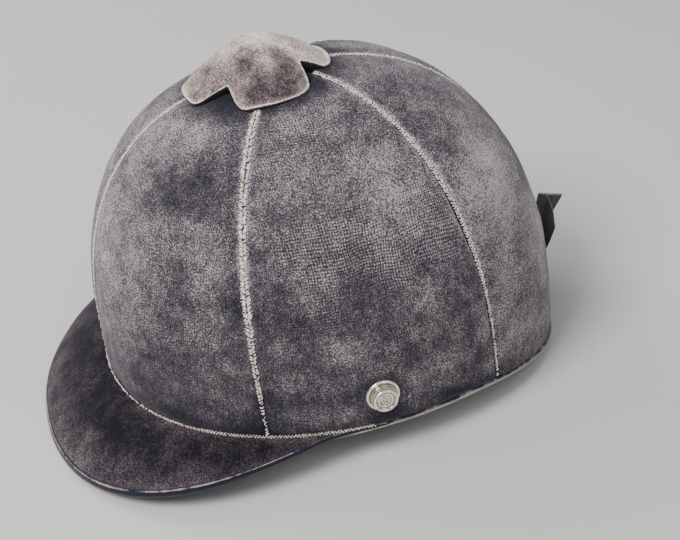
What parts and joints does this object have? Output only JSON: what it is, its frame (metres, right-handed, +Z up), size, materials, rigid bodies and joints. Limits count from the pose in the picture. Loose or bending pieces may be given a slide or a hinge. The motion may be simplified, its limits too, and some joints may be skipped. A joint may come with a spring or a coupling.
{
  "type": "equestrian riding helmet",
  "caption": "Velvet-covered riding helmet with a separate front peak, lobed crown button, side press studs, hinged ribbon tails at the back and a padded lining.",
  "frame": {"origin": "centre of the whole helmet's bounding box in plan, on the plane it stands on", "axes": "-Y towards the peak, which is the wearer's front; +X the wearer's left, the side of the left press stud; +Z up"},
  "size_m": [0.2232, 0.2966, 0.178],
  "materials": {
    "velvet": "worn short pile",
    "hard_shell": "moulded",
    "liner_foam": "beaded foam",
    "lining_cloth": "quilted satin",
    "band_leather": "soft, lightly creased",
    "binding": "worn edge",
    "under_cloth": "smooth cotton",
    "ribbon": "ribbed weave",
    "stud_metal": "nickel plate, polished by use",
    "brass_fittings": "plain"
  },
  "bodies": {
    "helmet": {"outer_shell": "hard_shell", "crash_liner": "liner_foam", "quilted_lining": "lining_cloth", "crown_pad": "lining_cloth", "sweatband_foam": "liner_foam", "sweatband_leather": "band_leather", "sweatband_bow": "ribbon", "rim_binding": "binding", "peak_core": "hard_shell", "peak_top_velvet": "velvet", "peak_under_cloth": "under_cloth", "peak_edge_binding": "binding", "brow_strip": "velvet", "crown_button_core": "liner_foam", "crown_button_velvet": "velvet", "button_rivet": "brass_fittings", "ribbon_backing": "ribbon", "ribbon_knot": "ribbon", "velvet_panel_front_left": "velvet", "velvet_panel_front_right": "velvet", "velvet_panel_side_left": "velvet", "velvet_panel_side_right": "velvet", "velvet_panel_rear_left": "velvet", "velvet_panel_rear_right": "velvet", "snap_stud_left": "stud_metal", "snap_stud_right": "stud_metal", "snap_post_left": "brass_fittings", "snap_post_right": "brass_fittings", "snap_washer_left": "brass_fittings", "snap_washer_right": "brass_fittings"},
    "left_tail": {"ribbon_tail_left": "ribbon"},
    "right_tail": {"ribbon_tail_right": "ribbon"}
  },
  "joints": [
    {"name": "left_tail_fold", "type": "hinge", "parent": "helmet", "child": "left_tail", "pos_m": [0, 0.13195, 0.0279], "axis": [-1, 0, 0], "range_deg": [-4, 72], "stiffness_Nm_per_rad": 0.001},
    {"name": "right_tail_fold", "type": "hinge", "parent": "helmet", "child": "right_tail", "pos_m": [0, 0.13195, 0.0279], "axis": [-1, 0, 0], "range_deg": [-28, 46], "stiffness_Nm_per_rad": 0.001}
  ]
}
